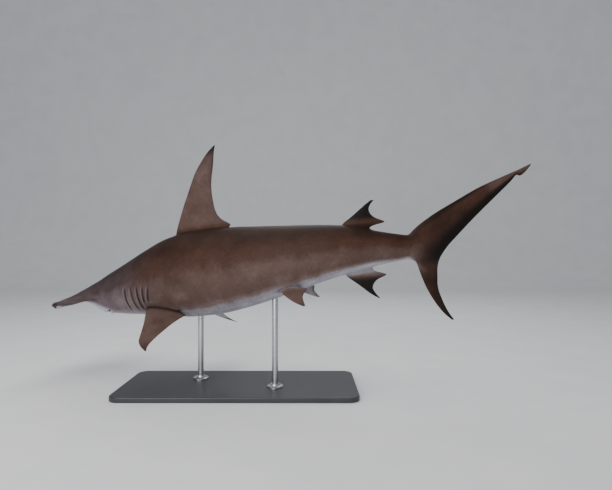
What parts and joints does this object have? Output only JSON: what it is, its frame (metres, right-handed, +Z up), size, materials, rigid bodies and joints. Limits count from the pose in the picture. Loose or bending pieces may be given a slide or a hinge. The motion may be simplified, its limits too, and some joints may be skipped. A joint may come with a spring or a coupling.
{
  "type": "great hammerhead shark on a display stand",
  "caption": "Life-size swimming great hammerhead shark with a wide flat hammer head, tall curved dorsal fin and long tail, on a flat base with two rods.",
  "frame": {"origin": "centre of the underside of the stand's base", "axes": "+Z up, -X towards the head, -Y towards the animal's left side"},
  "size_m": [3.2347, 1.263, 1.5885],
  "materials": {
    "skin": "matte sharkskin, brown grey above fading to off-white below",
    "eye": "wet, near black",
    "stand_metal": "brushed",
    "stand_board": "satin dark grey"
  },
  "bodies": {
    "root": {"head_hammer": "skin", "eye_left": "eye", "eye_right": "eye", "gill_region": "skin", "trunk_front": "skin", "trunk_rear": "skin", "tail_stock": "skin", "dorsal_fin_first": "skin", "dorsal_fin_second": "skin", "anal_fin": "skin", "pectoral_fin_left": "skin", "pelvic_fin_left": "skin", "pectoral_fin_right": "skin", "pelvic_fin_right": "skin", "caudal_fin_upper": "skin", "caudal_fin_lower": "skin", "stand_base": "stand_board", "stand_rod_front": "stand_metal", "stand_collar_front": "stand_metal", "stand_rod_rear": "stand_metal", "stand_collar_rear": "stand_metal"}
  },
  "joints": []
}
